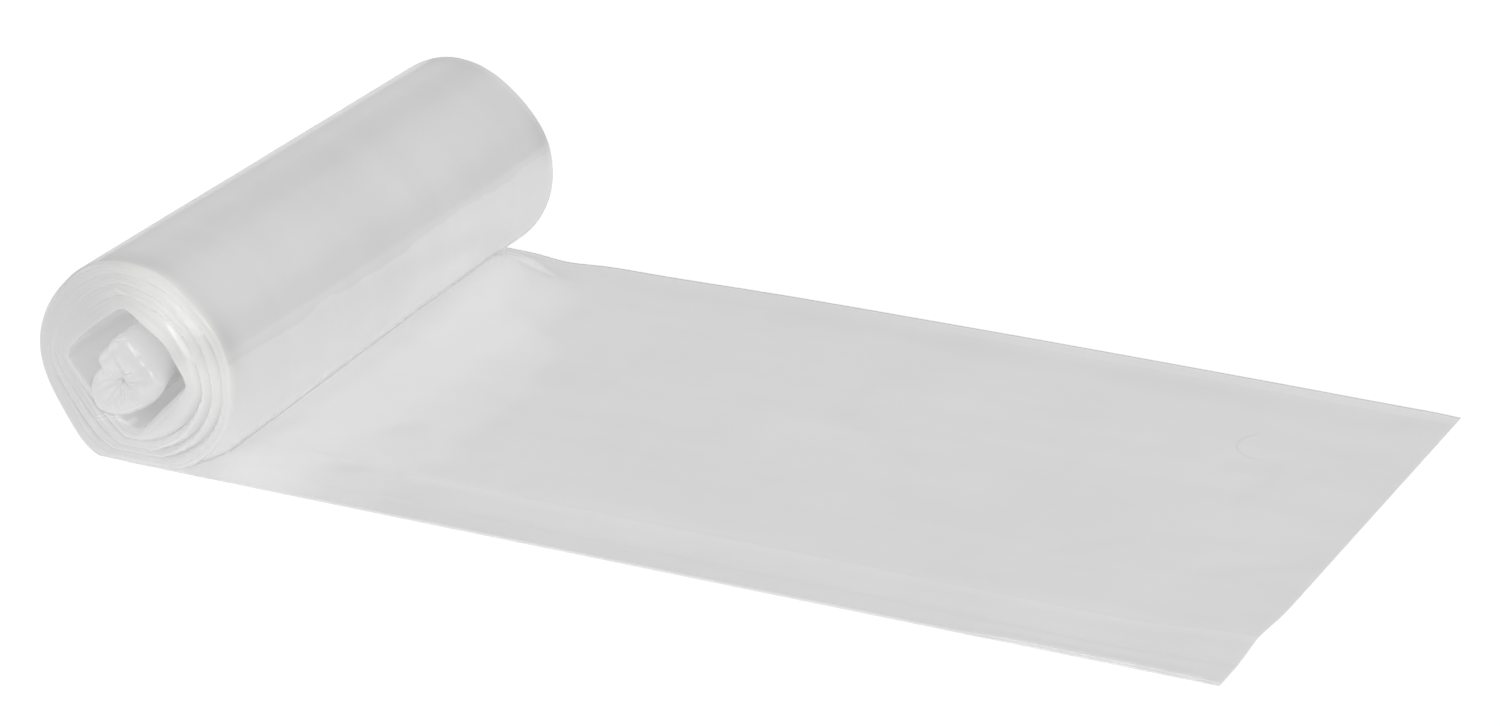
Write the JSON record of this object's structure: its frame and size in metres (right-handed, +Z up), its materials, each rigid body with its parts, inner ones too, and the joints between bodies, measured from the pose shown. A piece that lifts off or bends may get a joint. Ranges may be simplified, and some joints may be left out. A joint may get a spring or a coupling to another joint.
{
  "type": "bin bag roll",
  "caption": "Coreless roll of frosted bin bags: a wide folded film web, wound up, with its last stretch pulled off the roll and lying flat.",
  "frame": {"origin": "on the floor, below the middle of the footprint", "axes": "+X along the free stretch, away from the roll; +Y along the roll's axis; +Z up"},
  "size_m": [0.4628, 0.25, 0.0795],
  "materials": {
    "film": "frosted whitish polyethylene film, soft satin sheen"
  },
  "bodies": {
    "root": {"bag_roll": "film"}
  },
  "joints": []
}
